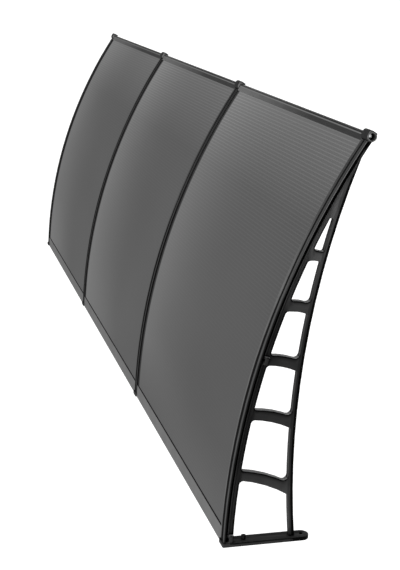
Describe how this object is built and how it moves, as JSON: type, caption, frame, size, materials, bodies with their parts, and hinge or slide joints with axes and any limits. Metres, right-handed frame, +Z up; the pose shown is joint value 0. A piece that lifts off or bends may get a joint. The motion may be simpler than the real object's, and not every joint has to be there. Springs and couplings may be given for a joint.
{
  "type": "door canopy",
  "caption": "Arched door canopy: moulded ladder brackets carry curved smoked sheets between a wall rail and a front rail.",
  "frame": {"origin": "the flat back of the middle wall rail, halfway along it, level with the middle of the roof sheet's thickness", "axes": "+X along the wall, +Y into the wall, +Z up; the roof reaches out towards -Y"},
  "size_m": [3.03, 0.9504, 0.3135],
  "materials": {
    "black_plastic": "satin black moulded plastic",
    "strip_plastic": "satin black extruded plastic",
    "smoked_sheet": "smoked twin-wall polycarbonate with fine lines along its flutes",
    "front_aluminium": "dark coated aluminium extrusion",
    "wall_aluminium": "dark grey coated aluminium extrusion",
    "zinc": "bright zinc plated steel"
  },
  "bodies": {
    "root": {"bracket_1": "black_plastic", "bracket_2": "black_plastic", "bracket_3": "black_plastic", "bracket_4": "black_plastic", "cover_strip_1": "strip_plastic", "cover_strip_2": "strip_plastic", "cover_strip_3": "strip_plastic", "cover_strip_4": "strip_plastic", "sheet_1": "smoked_sheet", "sheet_2": "smoked_sheet", "sheet_3": "smoked_sheet", "front_rail_1": "front_aluminium", "front_rail_2": "front_aluminium", "front_rail_3": "front_aluminium", "wall_rail_1": "wall_aluminium", "wall_rail_2": "wall_aluminium", "wall_rail_3": "wall_aluminium", "strip_stud_wall_1": "zinc", "strip_stud_wall_2": "zinc", "strip_stud_wall_3": "zinc", "strip_stud_wall_4": "zinc", "strip_stud_mid_1": "zinc", "strip_stud_mid_2": "zinc", "strip_stud_mid_3": "zinc", "strip_stud_mid_4": "zinc", "strip_nut_wall_1": "zinc", "strip_nut_wall_2": "zinc", "strip_nut_wall_3": "zinc", "strip_nut_wall_4": "zinc", "strip_nut_mid_1": "zinc", "strip_nut_mid_2": "zinc", "strip_nut_mid_3": "zinc", "strip_nut_mid_4": "zinc", "end_screw_1": "zinc", "end_screw_4": "zinc"}
  },
  "joints": []
}
